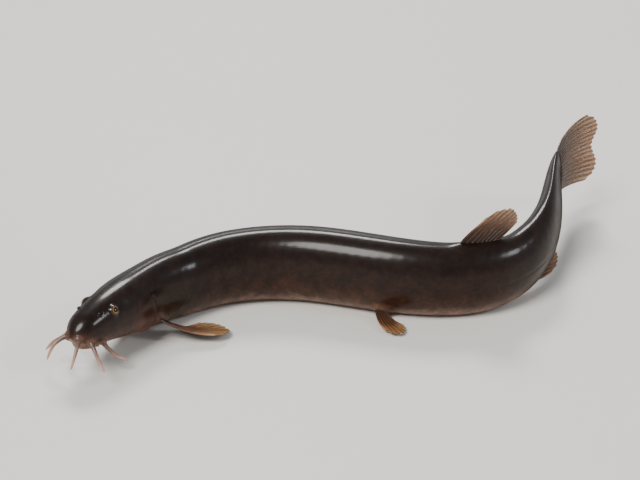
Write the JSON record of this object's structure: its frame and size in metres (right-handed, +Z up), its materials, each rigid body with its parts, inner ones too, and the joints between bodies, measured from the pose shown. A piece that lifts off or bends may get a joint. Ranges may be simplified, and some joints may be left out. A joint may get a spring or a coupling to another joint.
{
  "type": "black kuhli loach",
  "caption": "Life-size still model of a black kuhli loach, an eel-shaped plain dark fish with barbels round its mouth, at rest on its belly in an S curve.",
  "frame": {"origin": "on the floor, under the middle of the whole fish's box", "axes": "+Z up; +X from the head towards the tail along the S curve's mean line; the fish's left side faces -Y"},
  "size_m": [0.0698, 0.0224, 0.0119],
  "materials": {
    "skin": "wet, smooth skin with minute scales, near black above and dark brown to pinkish grey below",
    "eye": "glossy black eye with a thin bronze ring, under clear skin",
    "barbel": "soft, moist, pale greyish brown",
    "fin": "thin amber-brown web, translucent, on darker rays"
  },
  "bodies": {
    "root": {"head": "skin", "trunk_front": "skin", "trunk_middle": "skin", "trunk_rear": "skin", "tail_stalk": "skin", "eye_left": "eye", "eye_right": "eye", "barbel_inner_left": "barbel", "barbel_inner_right": "barbel", "barbel_outer_left": "barbel", "barbel_outer_right": "barbel", "barbel_corner_left": "barbel", "barbel_corner_right": "barbel", "dorsal_fin": "fin", "anal_fin": "fin", "tail_fin": "fin", "pectoral_fin_left": "fin", "pectoral_fin_right": "fin", "pelvic_fin_left": "fin", "pelvic_fin_right": "fin"}
  },
  "joints": []
}
